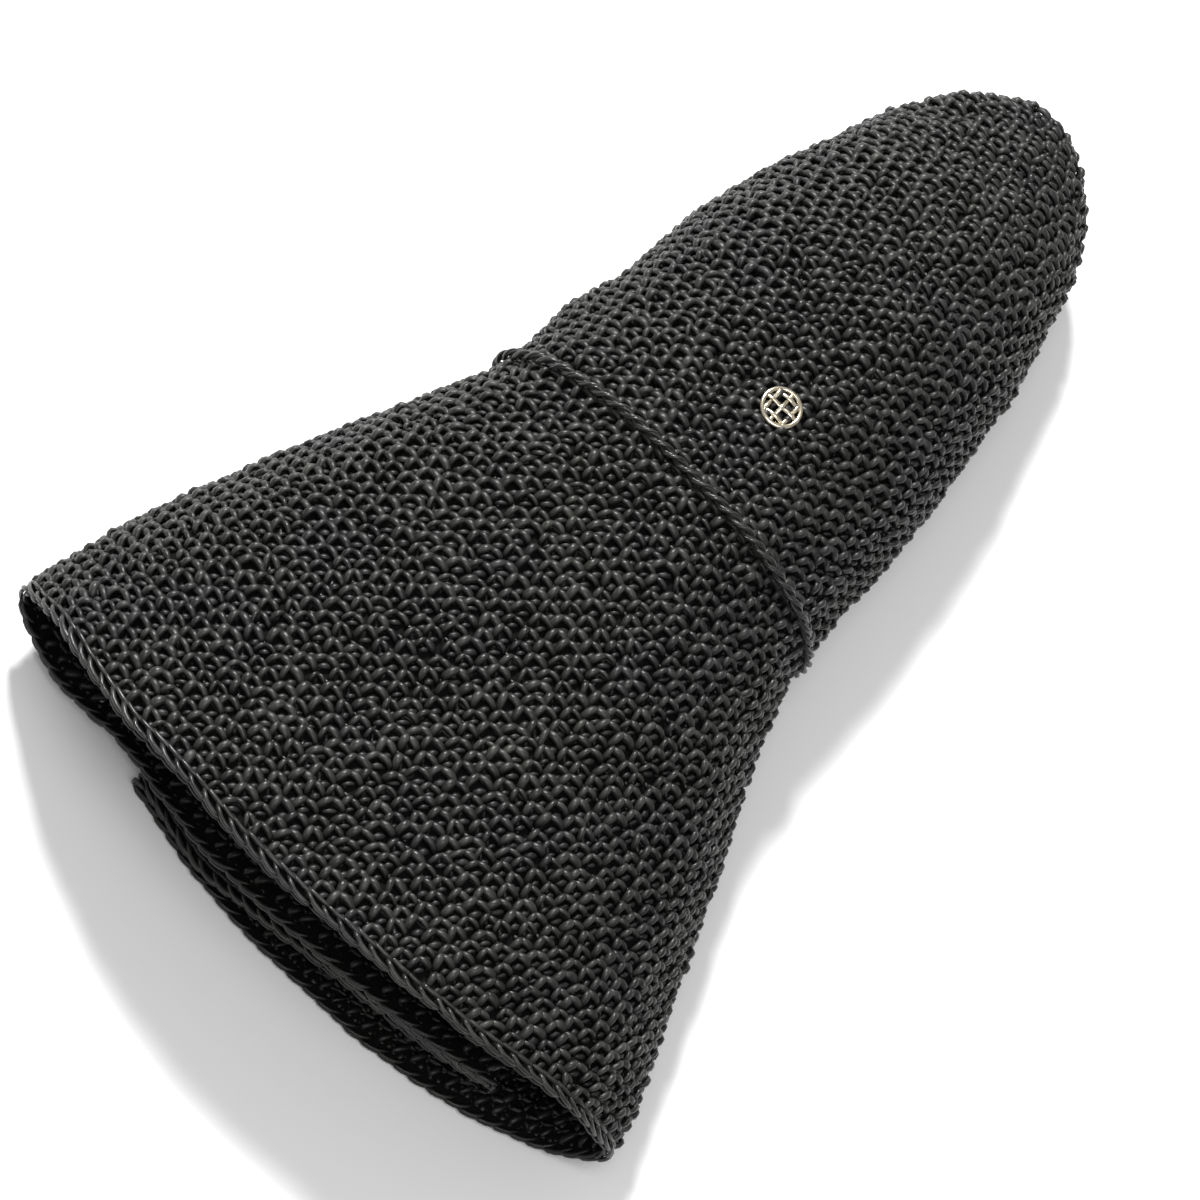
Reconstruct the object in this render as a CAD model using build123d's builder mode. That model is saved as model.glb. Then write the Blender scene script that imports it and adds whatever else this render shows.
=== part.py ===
from build123d import *
from math import radians, tan
import os

# A packable crocheted raffia sun hat, pleated along its back and flattened for packing.
# It lies on its back: +Z is up through the hat's front, +Y runs from the open mouth to the
# crown's tip, X is across. The origin is on the surface the hat lies on, under its middle.
# Millimetres.

os.makedirs("parts", exist_ok=True)

# ---- driving dimensions -------------------------------------------------------------------
fabric = 3.0                # thickness of the crocheted raffia
mouth_width = 272.0         # across the flattened rim
neck_width = 141.0          # across the flattened crown at the band line
brim_length = 174.0         # from the corners of the rim to the band line
crown_side_length = 156.0   # from the band line to where the crown's top begins
crown_tip_length = 50.0     # from there to the far end
rim_bow = 25.0              # how far the middle of the rim stands out past its corners
neck_skew = 2.0             # degrees that the band line leans across the hat
front_height = 73.0         # middle of the fabric at the hat's front, over the surface it lies on
edging_width = 4.0          # the finishing round on the brim's edge
layer_gap = 0.8             # between the pleat's layers where nothing lies between them

cord_diameter = 4.0         # twisted band cord
cord_clearance = 0.15       # between the cord and the crochet it lies on
cord_bend = 2.4             # extra room for the cord to turn back inside the pleat
cord_floor_gap = 0.3        # between the cord and the surface the hat lies on
whipping_depth = 0.5        # thread wound into the joined ends of the cord
whipping_length = 9.0
whipping_clearance = 0.05

ribbon = 0.9                # sweatband thickness
ribbon_width = 22.0
ribbon_gap = 0.3            # between the sweatband and the crochet
ribbon_from_neck = 7.0      # from the band line to the sweatband's edge

badge_diameter = 15.0
badge_thickness = 1.6
badge_gap = 0.1             # between the badge and the crochet
badge_from_neck = 41.0      # from the band line to the badge's centre
badge_across = 6.3          # from the hat's middle to the badge's centre
badge_rim = 1.7             # width of the badge's outer ring
badge_bar = 1.5             # width of its lattice bars
badge_bar_spacing = 4.0
post_diameter = 1.4
post_spacing = 8.0
post_clearance = 0.15       # round each post, in the crochet and in the plate
post_head = 2.4             # diameter of the flattened end of each post
post_head_height = 0.6
plate_diameter = 12.5
plate_thickness = 0.6
plate_gap = 0.3             # between the plate and the crochet

label_length = 20.0
label_height = 12.0
label_thickness = 0.8
label_gap = 0.3             # between the label and the sweatband

# ---- sizes worked out from those ----------------------------------------------------------
half = fabric / 2
neck_y = brim_length
side_end_y = neck_y + crown_side_length
tip_y = side_end_y + crown_tip_length
origin_y = (tip_y - rim_bow) / 2
ribbon_start_y = neck_y + ribbon_from_neck
ribbon_end_y = ribbon_start_y + ribbon_width
cord_off_fabric = half + cord_clearance + cord_diameter / 2
cord_room = cord_diameter + cord_clearance + cord_floor_gap
flat_stack = fabric + layer_gap
cord_stack = fabric + 2 * (cord_diameter + cord_clearance) + cord_bend
ribbon_stack = fabric + 2 * (ribbon + ribbon_gap + layer_gap)
pressed = 0.05                          # pressed flat where the crochet lies on the surface
rest = half - pressed                   # middle of fabric that lies on the surface
neck_rest = half + cord_room            # the cord passes between the neck and the surface
front_top = front_height + half
smallest_radius = 0.05


def across(y, shift, skew=0.0):
    """The plane of one cross-section, its own X across the hat and its own Y up."""
    return Plane(Location((shift, y - origin_y, 0), (0, 0, -skew)) * Location((0, 0, 0), (90, 0, 0)))


def front_corners(a, front, side, floor):
    """The front of a cross-section from right to left, a being half its width."""
    shoulder = side + 0.62 * (front - side)
    tall = front - floor
    return [
        (a, side - 0.075 * tall),
        (a, side + 0.075 * tall),
        (0.85 * a, shoulder),
        (0.42 * a, front),
        (-0.42 * a, front),
        (-0.85 * a, shoulder),
        (-a, side + 0.105 * tall),
        (-a, side - 0.045 * tall),
    ]


def pleated(width, front, side, floor, pleat_out, pleat_in, rise, low_stack, high_stack):
    """Corners of the fabric's middle line in one cross-section of the folded hat.

    front and side are heights of the fabric's middle, and rise is how far the pleat's inner layers
    stand up off the outer one, all three as shares of the front's height. floor is the height of the
    outer layer. pleat_out and pleat_in are where the pleat's two folds lie, as shares of half the
    width. The two stacks are the distances between its layers.
    """
    a = width / 2 - half
    fold_out = pleat_out * a
    fold_in = pleat_in * a
    lift = rise * front_height
    middle = floor + low_stack
    inner = middle + high_stack
    return front_corners(a, front * front_height, side * front_height, floor) + [
        (-0.84 * a, inner - 1),
        (fold_out, inner + 0.2 * lift),
        (0.3 * fold_in, inner + lift),
        (fold_in, inner + lift + 1),
        (fold_in, middle + lift + 1),
        (0.3 * fold_in, middle + lift),
        (0.5 * fold_out, middle),
        (fold_out, middle),
        (fold_out, floor),
        (0.88 * a, floor),
    ]


def plain(width, front, side, floor):
    """Corners of the fabric's middle line where the pleat has run out."""
    a = width / 2 - half
    corners = front_corners(a, front * front_height, side * front_height, floor)
    return corners + [(-0.8 * a, floor), (0.8 * a, floor)]


def set_off(corners, amount):
    """A closed outline's corners and corner radii, set off outwards by amount.

    Each radius on the fabric's middle line takes 0.45 of the corner's shorter side.
    """
    moved, radii = [], []
    for i, corner in enumerate(corners):
        here = Vector(corner)
        back = here - Vector(corners[i - 1])
        ahead = Vector(corners[(i + 1) % len(corners)]) - here
        turn = back.get_angle(ahead)
        convex = back.X * ahead.Y > back.Y * ahead.X
        radius = 0.45 * min(back.length, ahead.length) / tan(radians(turn / 2))
        side_in = Vector(back.Y, -back.X).normalized()
        side_out = Vector(ahead.Y, -ahead.X).normalized()
        moved.append(here + (side_in + side_out) * (amount / (1 + side_in.dot(side_out))))
        radii.append(max(radius + (amount if convex else -amount), smallest_radius))
    return moved, radii


def outline(plane, corners, amount):
    """The rounded outline of one cross-section, set off outwards from the fabric's middle line."""
    moved, radii = set_off(corners, amount)
    with BuildSketch(plane) as section:
        with BuildLine():
            FilletPolyline(moved, radius=radii, close=True)
        make_face()
    return section.sketch


def outlines(stations, amount):
    return [outline(plane, corners, amount) for plane, corners in stations]


# ---- cross-sections, from the mouth to the tip --------------------------------------------
# Each has a place along the hat, a sideways shift, a width, then shares of the front's height and
# of half the width, as pleated() says.
overrun = rim_bow + 8       # the brim is made longer than its corners, then its rim is cut to a bow
flat = (flat_stack, flat_stack)


def brim_width(share):
    """The folded brim's width at a share of the way from its rim to the band line."""
    return mouth_width + share * (neck_width - mouth_width)


outer_length = 0.37 * brim_length
outer_width = brim_width(0.32)
overrun_width = mouth_width + overrun * (mouth_width - outer_width) / outer_length
neck_section = pleated(
    neck_width, 1, 0.466, neck_rest, -0.638, 0.725, 0.027, ribbon_stack, cord_stack
)

brim_stations = [
    (across(-overrun, 0), pleated(overrun_width, 0.96, 0.3, rest, -0.457, 0.65, 0.356, *flat)),
    (across(0, 0), pleated(mouth_width, 0.93, 0.3, rest, -0.476, 0.654, 0.33, *flat)),
    (across(outer_length, -3), pleated(outer_width, 0.96, 0.33, rest, -0.529, 0.705, 0.22, *flat)),
    (
        across(0.713 * brim_length, -4.4),
        pleated(brim_width(0.718), 0.986, 0.384, rest, -0.571, 0.709, 0.11, *flat),
    ),
    (across(neck_y - ribbon_from_neck, -1.5, neck_skew), neck_section),
    (across(neck_y, -1, neck_skew), neck_section),
]
band_end_section = pleated(
    0.965 * neck_width, 1, 0.45, rest + 3, -0.647, 0.737, 0.027, ribbon_stack, flat_stack + 4
)
band_stations = [
    (across(ribbon_start_y, 0, neck_skew), neck_section),
    (across(ribbon_end_y, 1.8, neck_skew / 2), band_end_section),
]
late_stations = [
    (
        across(neck_y + 0.572 * crown_side_length, 4),
        pleated(0.887 * neck_width, 1, 0.425, rest, -0.689, 0.754, 0.04, *flat),
    ),
    (
        across(neck_y + 0.783 * crown_side_length, 4),
        pleated(0.83 * neck_width, 0.89, 0.4, rest, -0.596, 0.667, 0.04, *flat),
    ),
    (
        across(side_end_y, 5.5),
        pleated(0.688 * neck_width, 0.74, 0.356, rest + 1, -0.426, 0.468, 0.027, *flat),
    ),
]
side_stations = [brim_stations[-1]] + band_stations + late_stations
tip_stations = [
    (across(side_end_y, 5.5), plain(0.688 * neck_width, 0.74, 0.356, rest + 1)),
    (across(tip_y - 27, 7), plain(0.56 * neck_width, 0.616, 0.342, rest + 3)),
    (across(tip_y - 13, 6.5), plain(0.426 * neck_width, 0.52, 0.342, rest + 8)),
    (across(tip_y - 4, 4), plain(0.284 * neck_width, 0.438, 0.33, rest + 13)),
]
end_station = (across(tip_y, 2), plain(0.184 * neck_width, 0.397, 0.33, rest + 16))

# ---- brim and its edging ------------------------------------------------------------------
def press_flat():
    """Cuts off whatever the part in hand has below the surface the hat lies on."""
    on_top = (Align.CENTER, Align.CENTER, Align.MAX)
    Box(2 * mouth_width, 2 * tip_y, 10 * pressed, align=on_top, mode=Mode.SUBTRACT)


wide = mouth_width / 2 + 15
bow_end = rim_bow * (2 * wide / mouth_width) ** 2 - rim_bow


def rim_cut(inset):
    """Everything in front of the rim's bow, moved inwards by inset, as seen from above."""
    with BuildSketch(Plane.XY) as cut:
        with BuildLine():
            ends = bow_end + inset - origin_y
            beyond = -2 * overrun - origin_y
            ThreePointArc((-wide, ends), (0, inset - rim_bow - origin_y), (wide, ends))
            Polyline((wide, ends), (wide, beyond), (-wide, beyond), (-wide, ends))
        make_face()
    return cut.sketch


with BuildPart() as brim:
    loft(sections=outlines(brim_stations, half), ruled=True)
    loft(sections=outlines(brim_stations, -half), ruled=True, mode=Mode.SUBTRACT)
    press_flat()
    whole_brim = brim.part
    extrude(rim_cut(edging_width), amount=2 * front_height, mode=Mode.SUBTRACT)
brim.part.label = "brim"
export_step(brim.part, "parts/brim.step")

with BuildPart() as rim_edging:
    extrude(rim_cut(edging_width), amount=2 * front_height)
    extrude(rim_cut(0), amount=2 * front_height, mode=Mode.SUBTRACT)
    add(whole_brim, mode=Mode.INTERSECT)
rim_edging.part.label = "rim_edging"
export_step(rim_edging.part, "parts/rim_edging.step")

# ---- crown --------------------------------------------------------------------------------
badge_centre = (badge_across, neck_y + badge_from_neck - origin_y)

with BuildPart() as crown_side:
    loft(sections=outlines(side_stations, half), ruled=True)
    loft(sections=outlines(side_stations, -half), ruled=True, mode=Mode.SUBTRACT)
    press_flat()
    with BuildSketch(Plane.XY.offset(front_height - fabric)):
        with Locations(badge_centre):
            with GridLocations(post_spacing, 0, 2, 1):
                Circle(post_diameter / 2 + post_clearance)
    extrude(amount=2 * fabric, mode=Mode.SUBTRACT)
crown_side.part.label = "crown_side"
export_step(crown_side.part, "parts/crown_side.step")

with BuildPart() as crown_tip:
    loft(sections=outlines(tip_stations + [end_station], half), ruled=True)
    loft(sections=outlines(tip_stations, -half), ruled=True, mode=Mode.SUBTRACT)
crown_tip.part.label = "crown_tip"
export_step(crown_tip.part, "parts/crown_tip.step")

# ---- band cord ----------------------------------------------------------------------------
neck_plane = across(neck_y, -1, neck_skew)
cord_outline = outline(neck_plane, neck_section, cord_off_fabric)
cord_path = Wire(cord_outline.edges().filter_by(lambda edge: edge.length > 0.01))
cord_run_z = neck_rest - cord_off_fabric
whipping_plane = neck_plane * Location((-10, cord_run_z, 0), (0, 90, 0))
cord_start = Plane(origin=cord_path @ 0, z_dir=cord_path % 0)

with BuildPart() as band_cord:
    with BuildSketch(cord_start):
        Circle(cord_diameter / 2)
    sweep(path=cord_path)
    with BuildSketch(whipping_plane):
        Circle(cord_diameter)
        Circle(cord_diameter / 2 - whipping_depth - whipping_clearance, mode=Mode.SUBTRACT)
    extrude(amount=whipping_length / 2 + whipping_clearance, both=True, mode=Mode.SUBTRACT)
band_cord.part.label = "band_cord"
export_step(band_cord.part, "parts/band_cord.step")

with BuildPart() as cord_whipping:
    with BuildSketch(whipping_plane):
        Circle(cord_diameter / 2)
        Circle(cord_diameter / 2 - whipping_depth, mode=Mode.SUBTRACT)
    extrude(amount=whipping_length / 2, both=True)
cord_whipping.part.label = "cord_whipping"
export_step(cord_whipping.part, "parts/cord_whipping.step")

# ---- sweatband and its label --------------------------------------------------------------
with BuildPart() as sweatband:
    loft(sections=outlines(band_stations, -half - ribbon_gap), ruled=True)
    loft(sections=outlines(band_stations, -half - ribbon_gap - ribbon), ruled=True, mode=Mode.SUBTRACT)
sweatband.part.label = "sweatband"
export_step(sweatband.part, "parts/sweatband.step")

label_top = front_height - half - ribbon_gap - ribbon - label_gap
with BuildPart() as blank_label:
    with Locations((0, (ribbon_start_y + ribbon_end_y) / 2 - origin_y, label_top)):
        Box(label_length, label_height, label_thickness, align=(Align.CENTER, Align.CENTER, Align.MAX))
    fillet(blank_label.edges().filter_by(Axis.Z), 1.0)
blank_label.part.label = "blank_label"
export_step(blank_label.part, "parts/blank_label.step")

# ---- badge --------------------------------------------------------------------------------
badge_under = front_top + badge_gap
plate_top = front_height - half - plate_gap
lattice_hole = badge_bar_spacing - badge_bar

with BuildPart() as badge_face:
    with BuildSketch(Plane.XY.offset(badge_under)):
        with Locations(badge_centre):
            Circle(badge_diameter / 2)
            Circle(badge_diameter / 2 - badge_rim, mode=Mode.SUBTRACT)
    extrude(amount=badge_thickness)
    with BuildSketch(Plane.XY.offset(badge_under)):
        with Locations(badge_centre):
            Circle(badge_diameter / 2 - badge_rim / 2)
            with GridLocations(badge_bar_spacing, badge_bar_spacing, 4, 4):
                Rectangle(lattice_hole, lattice_hole, mode=Mode.SUBTRACT)
    extrude(amount=0.75 * badge_thickness)
badge_face.part.label = "badge_face"
export_step(badge_face.part, "parts/badge_face.step")

with BuildPart() as badge_posts:
    with BuildSketch(Plane.XY.offset(badge_under)):
        with Locations(badge_centre):
            with GridLocations(post_spacing, 0, 2, 1):
                Circle(post_diameter / 2)
    extrude(amount=plate_top - plate_thickness - badge_under)
    with BuildSketch(Plane.XY.offset(plate_top - plate_thickness)):
        with Locations(badge_centre):
            with GridLocations(post_spacing, 0, 2, 1):
                Circle(post_head / 2)
    extrude(amount=-post_head_height)
badge_posts.part.label = "badge_posts"
export_step(badge_posts.part, "parts/badge_posts.step")

with BuildPart() as badge_backplate:
    with BuildSketch(Plane.XY.offset(plate_top)):
        with Locations(badge_centre):
            Circle(plate_diameter / 2)
            with GridLocations(post_spacing, 0, 2, 1):
                Circle(post_diameter / 2 + post_clearance, mode=Mode.SUBTRACT)
    extrude(amount=-plate_thickness)
badge_backplate.part.label = "badge_backplate"
export_step(badge_backplate.part, "parts/badge_backplate.step")
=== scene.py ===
import math

import bpy
import numpy as np
from mathutils import Matrix, Vector


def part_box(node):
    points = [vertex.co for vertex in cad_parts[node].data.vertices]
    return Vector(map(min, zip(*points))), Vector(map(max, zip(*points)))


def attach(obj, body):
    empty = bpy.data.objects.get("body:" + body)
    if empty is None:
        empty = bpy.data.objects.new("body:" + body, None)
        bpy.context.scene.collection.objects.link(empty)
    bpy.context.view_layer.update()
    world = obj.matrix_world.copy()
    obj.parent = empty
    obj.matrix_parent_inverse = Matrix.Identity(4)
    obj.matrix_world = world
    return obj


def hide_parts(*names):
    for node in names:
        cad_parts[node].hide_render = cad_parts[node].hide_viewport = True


# A packable crocheted raffia sun hat, pleated along its back and flattened for packing.
# Shapes are worked out in millimetres in the model's own frame and turned into metres when a
# mesh is made. +Y runs from the open mouth to the crown's tip, +Z is up, X is across.

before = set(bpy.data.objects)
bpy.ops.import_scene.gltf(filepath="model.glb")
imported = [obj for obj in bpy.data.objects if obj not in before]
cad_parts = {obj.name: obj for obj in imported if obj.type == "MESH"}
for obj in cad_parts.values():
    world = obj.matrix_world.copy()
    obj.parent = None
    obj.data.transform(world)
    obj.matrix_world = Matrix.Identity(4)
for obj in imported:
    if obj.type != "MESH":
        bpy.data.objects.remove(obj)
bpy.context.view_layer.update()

MM = 0.001
TURN = 2 * math.pi
UP = np.array([0.0, 0.0, 1.0])
rng = np.random.default_rng(11)

# ---- the folded hat's sizes ---------------------------------------------------------------
HALF_FABRIC = 2.5           # the strands stand out a little more than the wall's half thickness
NECK_Y = 174.0              # distances along the hat are from the corners of the rim
TOP_Y = 330.0               # where the rounds of the crown's top begin
TIP_Y = 385.5
ORIGIN_Y = 177.5            # where the frame's origin lies along the hat
FLARE = 34.0                # how far the cross-sections go on past the corners of the rim
NECK_LEAN = math.radians(2)
EDGING_WIDTH = 4.0
CORD_OFF = 4.1              # from the middle of the crochet to the middle of the cord
RIBBON_OFF = -2.2           # and to the middle of the sweatband
STITCH_WIDTH = 6.3

# One row for each cross-section: its place, the hat's reach to the left and right of its middle
# line, the angle it leans, the height of the front, of the sides and of the lowest layer, where
# the pleat's outer and inner folds lie as shares of half the width, how far its inner layers
# stand up, and the distances between its layers.
SECTIONS = np.array([
    (-FLARE, 145.5, 146.0, 0.0, 69.0, 20.0, 2.1, -0.46, 0.65, 27.0, 3.8, 3.8),
    (0, 134.4, 133.8, 0.0, 68.0, 21.0, 2.1, -0.47, 0.65, 25.0, 3.8, 3.8),
    (16, 131.0, 130.0, 0.0, 68.5, 22.0, 2.1, -0.48, 0.66, 23.0, 3.8, 3.8),
    (34, 126.2, 122.4, 0.1, 69.0, 23.0, 2.1, -0.50, 0.68, 20.0, 3.8, 3.8),
    (66, 115.9, 110.0, 0.4, 70.0, 24.0, 2.1, -0.53, 0.70, 16.0, 3.8, 3.8),
    (100, 103.0, 96.6, 0.8, 71.0, 26.0, 2.1, -0.55, 0.70, 11.0, 3.8, 3.8),
    (127, 91.0, 84.6, 1.3, 72.0, 28.0, 2.1, -0.57, 0.71, 8.0, 3.8, 3.8),
    (150, 80.6, 76.0, 1.7, 72.5, 31.0, 2.5, -0.61, 0.72, 5.0, 5.0, 8.0),
    (167, 73.2, 70.6, 2.0, 73.0, 34.0, 5.95, -0.638, 0.725, 2.0, 7.0, 13.7),
    (174, 70.9, 69.2, 2.0, 73.0, 34.0, 5.95, -0.638, 0.725, 2.0, 7.0, 13.7),
    (181, 70.6, 69.3, 2.0, 73.0, 34.0, 5.95, -0.638, 0.725, 2.0, 7.0, 13.7),
    (205, 68.6, 69.0, 1.2, 73.0, 33.0, 4.5, -0.647, 0.737, 2.0, 7.0, 7.8),
    (230, 63.6, 68.2, 0.6, 73.0, 32.0, 2.6, -0.67, 0.745, 2.5, 5.0, 5.0),
    (265, 60.4, 65.6, 0.2, 72.5, 31.0, 2.1, -0.689, 0.754, 3.0, 3.8, 3.8),
    (297, 53.4, 61.6, 0.0, 66.0, 29.0, 2.1, -0.60, 0.67, 3.0, 3.8, 3.8),
    (330, 42.6, 54.8, 0.0, 57.0, 28.0, 3.0, -0.42, 0.46, 2.0, 3.8, 3.8),
    (344, 38.2, 51.4, 0.0, 52.5, 28.5, 5.5, -0.22, 0.25, 1.5, 3.0, 3.0),
    (356, 31.6, 46.2, 0.0, 48.5, 30.0, 9.0, -0.08, 0.09, 0.6, 1.2, 1.2),
    (368, 25.0, 39.0, 0.0, 44.5, 31.5, 15.0, -0.03, 0.04, 0.2, 0.4, 0.4),
    (377, 15.0, 28.4, 0.0, 42.0, 34.5, 24.0, -0.02, 0.03, 0.1, 0.3, 0.3),
    (385.5, 0.5, 12.0, 0.0, 38.6, 36.2, 34.0, -0.02, 0.03, 0.05, 0.1, 0.1),
])
# The rim as seen from above, (across, along): it is bowed, more so at the front than at the back.
RIM_ACROSS = [-138, -134, -129, -121, -100, -72, -30, 0, 40, 70, 90, 111, 124, 131, 135, 138]
RIM_FRONT = [11, 6, 2.5, -1.5, -11, -19.5, -25.0, -25.5, -22.5, -17, -11.5, -6, -1.5, 1.5, 4.5, 8]
RIM_BACK = [11, 6, 3, 0, -5, -6.5, -17.6, -20.6, -20.4, -16.8, -12.2, -5.5, -1, 1.5, 4, 8]

# ---- the crochet's middle surface ---------------------------------------------------------
COLUMNS = 1200              # points round each line of the surface
CORNER_POINTS = 8           # points on each rounded corner of a cross-section
CORNER_CUT = 0.45           # share of the shorter side that a rounded corner takes up
SHOULDER_AT = 0.85          # share of half the width
SHOULDER_RISE = 0.62        # share of the way from the sides up to the front
FRONT_AT = 0.42             # where the flat of the front ends, as a share of half the width
ROOT_START = 0.5            # keeps the root that spreads the cross-sections along above zero
BRIM_LINES, CROWN_LINES = 160, 260      # lines worked out before they are spaced evenly
BRIM_START = -0.04          # share of the brim's length, a little past the rim
RIM_SMOOTHING = 30          # times that the bow of the rim is softened
ROW_STEP = 1.35             # mm between lines of the surface
BEYOND_RIM = 6.0            # how far the surface is worked out past the rim
SOFT_WAVES = 9
WAVE_HEIGHT = 0.13
WAVE_FADE = 30.0            # mm over which the waves die out before the tip
BESIDE_PLEAT = -66.0        # across; to the left of it the back is a single layer
PRESSED_BETWEEN = (6.0, 20.0)   # heights; crochet below the first is pressed flattest
PRESSED_SHARE = 0.5
TINY = 1e-9                 # smallest length that anything is divided by


def unit(vectors):
    """Vectors of length one, along the last axis."""
    return vectors / np.maximum(np.linalg.norm(vectors, axis=-1, keepdims=True), TINY)


def lengths_along(lines):
    """How far along its line each point is, for lines as (lines, points, across)."""
    run = np.cumsum(np.linalg.norm(np.diff(lines, axis=1), axis=2), axis=1)
    return np.concatenate([np.zeros((len(lines), 1)), run], axis=1)


def grid_round(rows, columns):
    """Point numbers of a grid that closes round the hat, those one column on, and its quads."""
    index = np.arange(rows * columns).reshape(rows, columns)
    right = np.roll(index, -1, axis=1)
    return index, right, np.stack([index[:-1], right[:-1], right[1:], index[1:]], axis=-1)


def smooth_between(x_known, y_known, x):
    """Values at x on a smooth curve through the known points that doesn't overshoot them."""
    step = np.diff(x_known)
    slope = np.diff(y_known, axis=0) / step[:, None]
    tangent = np.zeros_like(y_known)
    same = slope[:-1] * slope[1:] > 0
    w1, w2 = (2 * step[1:] + step[:-1])[:, None], (step[1:] + 2 * step[:-1])[:, None]
    with np.errstate(divide="ignore", invalid="ignore"):
        mean = (w1 + w2) / (w1 / slope[:-1] + w2 / slope[1:])
    tangent[1:-1] = np.where(same, mean, 0)
    tangent[0], tangent[-1] = slope[0], slope[-1]
    i = np.clip(np.searchsorted(x_known, x) - 1, 0, len(step) - 1)
    h = step[i][:, None]
    s = ((x - x_known[i]) / step[i])[:, None]
    return (
        (2 * s**3 - 3 * s**2 + 1) * y_known[i]
        + (s**3 - 2 * s**2 + s) * h * tangent[i]
        + (3 * s**2 - 2 * s**3) * y_known[i + 1]
        + (s**3 - s**2) * h * tangent[i + 1]
    )


def section_lines(y, offset=0.0):
    """Closed lines round the hat, one for each y, as (len(y), COLUMNS, 3) points in mm.

    Each starts at the middle of the front and goes over the left side, through the pleat and back
    up the right side.
    """
    y = np.asarray(y, float)
    root = np.sqrt(TIP_Y + ROOT_START - SECTIONS[::-1, 0])
    value = smooth_between(root, SECTIONS[::-1, 1:], np.sqrt(TIP_Y + ROOT_START - y))
    left, right, skew, front, side, floor, fold_out, fold_in, rise, low, high = value.T
    shift = (right - left) / 2
    a = np.maximum((left + right) / 2 - HALF_FABRIC, 1.0)
    fold_out, fold_in = fold_out * a, fold_in * a
    middle = floor + low
    inner = middle + high
    shoulder = side + SHOULDER_RISE * (front - side)
    room = np.minimum(1.0, (front - floor) / 40)
    corners = np.stack([np.stack(c, axis=1) for c in (
        (-FRONT_AT * a, front), (-SHOULDER_AT * a, shoulder),
        (-a, side + 7 * room), (-a, side - 3 * room),
        (-0.84 * a, inner - room), (fold_out, inner + 0.2 * rise),
        (0.3 * fold_in, inner + rise), (fold_in, inner + rise + room),
        (fold_in, middle + rise + room), (0.3 * fold_in, middle + rise),
        (0.5 * fold_out, middle), (fold_out, middle), (fold_out, floor), (0.88 * a, floor),
        (a, side - 5 * room), (a, side + 5 * room),
        (SHOULDER_AT * a, shoulder), (FRONT_AT * a, front),
    )], axis=1)
    back = np.roll(corners, 1, axis=1) - corners
    ahead = np.roll(corners, -1, axis=1) - corners
    back_length, ahead_length = (np.linalg.norm(d, axis=2, keepdims=True) for d in (back, ahead))
    cut = CORNER_CUT * np.minimum(back_length, ahead_length)
    start = corners + back / np.maximum(back_length, TINY) * cut
    end = corners + ahead / np.maximum(ahead_length, TINY) * cut
    s = np.linspace(0, 1, CORNER_POINTS)[None, None, :, None]
    start, corners, end = (points[:, :, None] for points in (start, corners, end))
    curve = (1 - s) ** 2 * start + 2 * s * (1 - s) * corners + s**2 * end
    top = np.stack([np.zeros_like(front), front], axis=1)[:, None]
    line = np.concatenate([top, curve.reshape(len(y), -1, 2), top], axis=1)
    if offset:
        along = unit(np.gradient(line, axis=1))
        line = line + offset * np.stack([along[..., 1], -along[..., 0]], axis=2)
    share = np.arange(COLUMNS) / COLUMNS
    flat = np.array([
        [np.interp(share * along[-1], along, row[:, k]) for k in (0, 1)]
        for row, along in zip(line, lengths_along(line))
    ])
    lean = np.radians(skew)[:, None]
    x = shift[:, None] + flat[:, 0] * np.cos(lean)
    return np.stack([x, y[:, None] - ORIGIN_Y - flat[:, 0] * np.sin(lean), flat[:, 1]], axis=2)


def surface_normals(points):
    """Unit vectors out of the hat at each point of a grid that closes round the hat."""
    down = np.gradient(points, axis=0)
    round_it = np.roll(points, -1, axis=1) - np.roll(points, 1, axis=1)
    normal = np.cross(down, round_it)
    for _ in range(2):
        normal = unit(normal)
        normal = normal + 0.5 * (np.roll(normal, 1, axis=1) + np.roll(normal, -1, axis=1))
    return unit(normal)


def make_surface():
    """The crochet's middle surface: points, normals, and how far each line is from the rim.

    The last value is how far the band line is from the rim.
    """
    table_y = np.arange(-FLARE, NECK_Y + 0.5, 1.0)
    table = section_lines(table_y)
    at_rim = table[int(-table_y[0]), :, 0]
    place = np.arange(COLUMNS)
    at_front = (place < at_rim.argmin()) | (place > at_rim.argmax())
    front_bow, back_bow = (np.interp(at_rim, RIM_ACROSS, bow) for bow in (RIM_FRONT, RIM_BACK))
    bow = np.where(at_front, front_bow, back_bow)
    for _ in range(RIM_SMOOTHING):
        bow = (np.roll(bow, 1) + 2 * bow + np.roll(bow, -1)) / 4
    share = np.linspace(BRIM_START, 1, BRIM_LINES)
    y = bow[None] + share[:, None] * (NECK_Y - bow[None])
    place = np.clip(y - table_y[0], 0, len(table_y) - 1.001)
    low = place.astype(int)
    part = (place - low)[..., None]
    column = np.arange(COLUMNS)[None]
    brim = table[low, column] * (1 - part) + table[low + 1, column] * part
    crown_share = np.linspace(0, 1, CROWN_LINES)[1:]
    crown = section_lines(NECK_Y + (TIP_Y - NECK_Y) * (1 - (1 - crown_share) ** 2))
    points = np.concatenate([brim, crown])
    step = np.linalg.norm(np.diff(points, axis=0), axis=2)
    along = np.concatenate([[0], np.cumsum(step.mean(axis=1))])
    along -= np.interp(0.0, share, along[:BRIM_LINES])
    at = np.arange(-BEYOND_RIM, along[-1], ROW_STEP)
    i = np.clip(np.searchsorted(along, at) - 1, 0, len(along) - 2)
    part = ((at - along[i]) / (along[i + 1] - along[i]))[:, None, None]
    points = points[i] * (1 - part) + points[i + 1] * part
    points = handmade_unevenness(points, at)
    return points, surface_normals(points), at, along[BRIM_LINES - 1]


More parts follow.
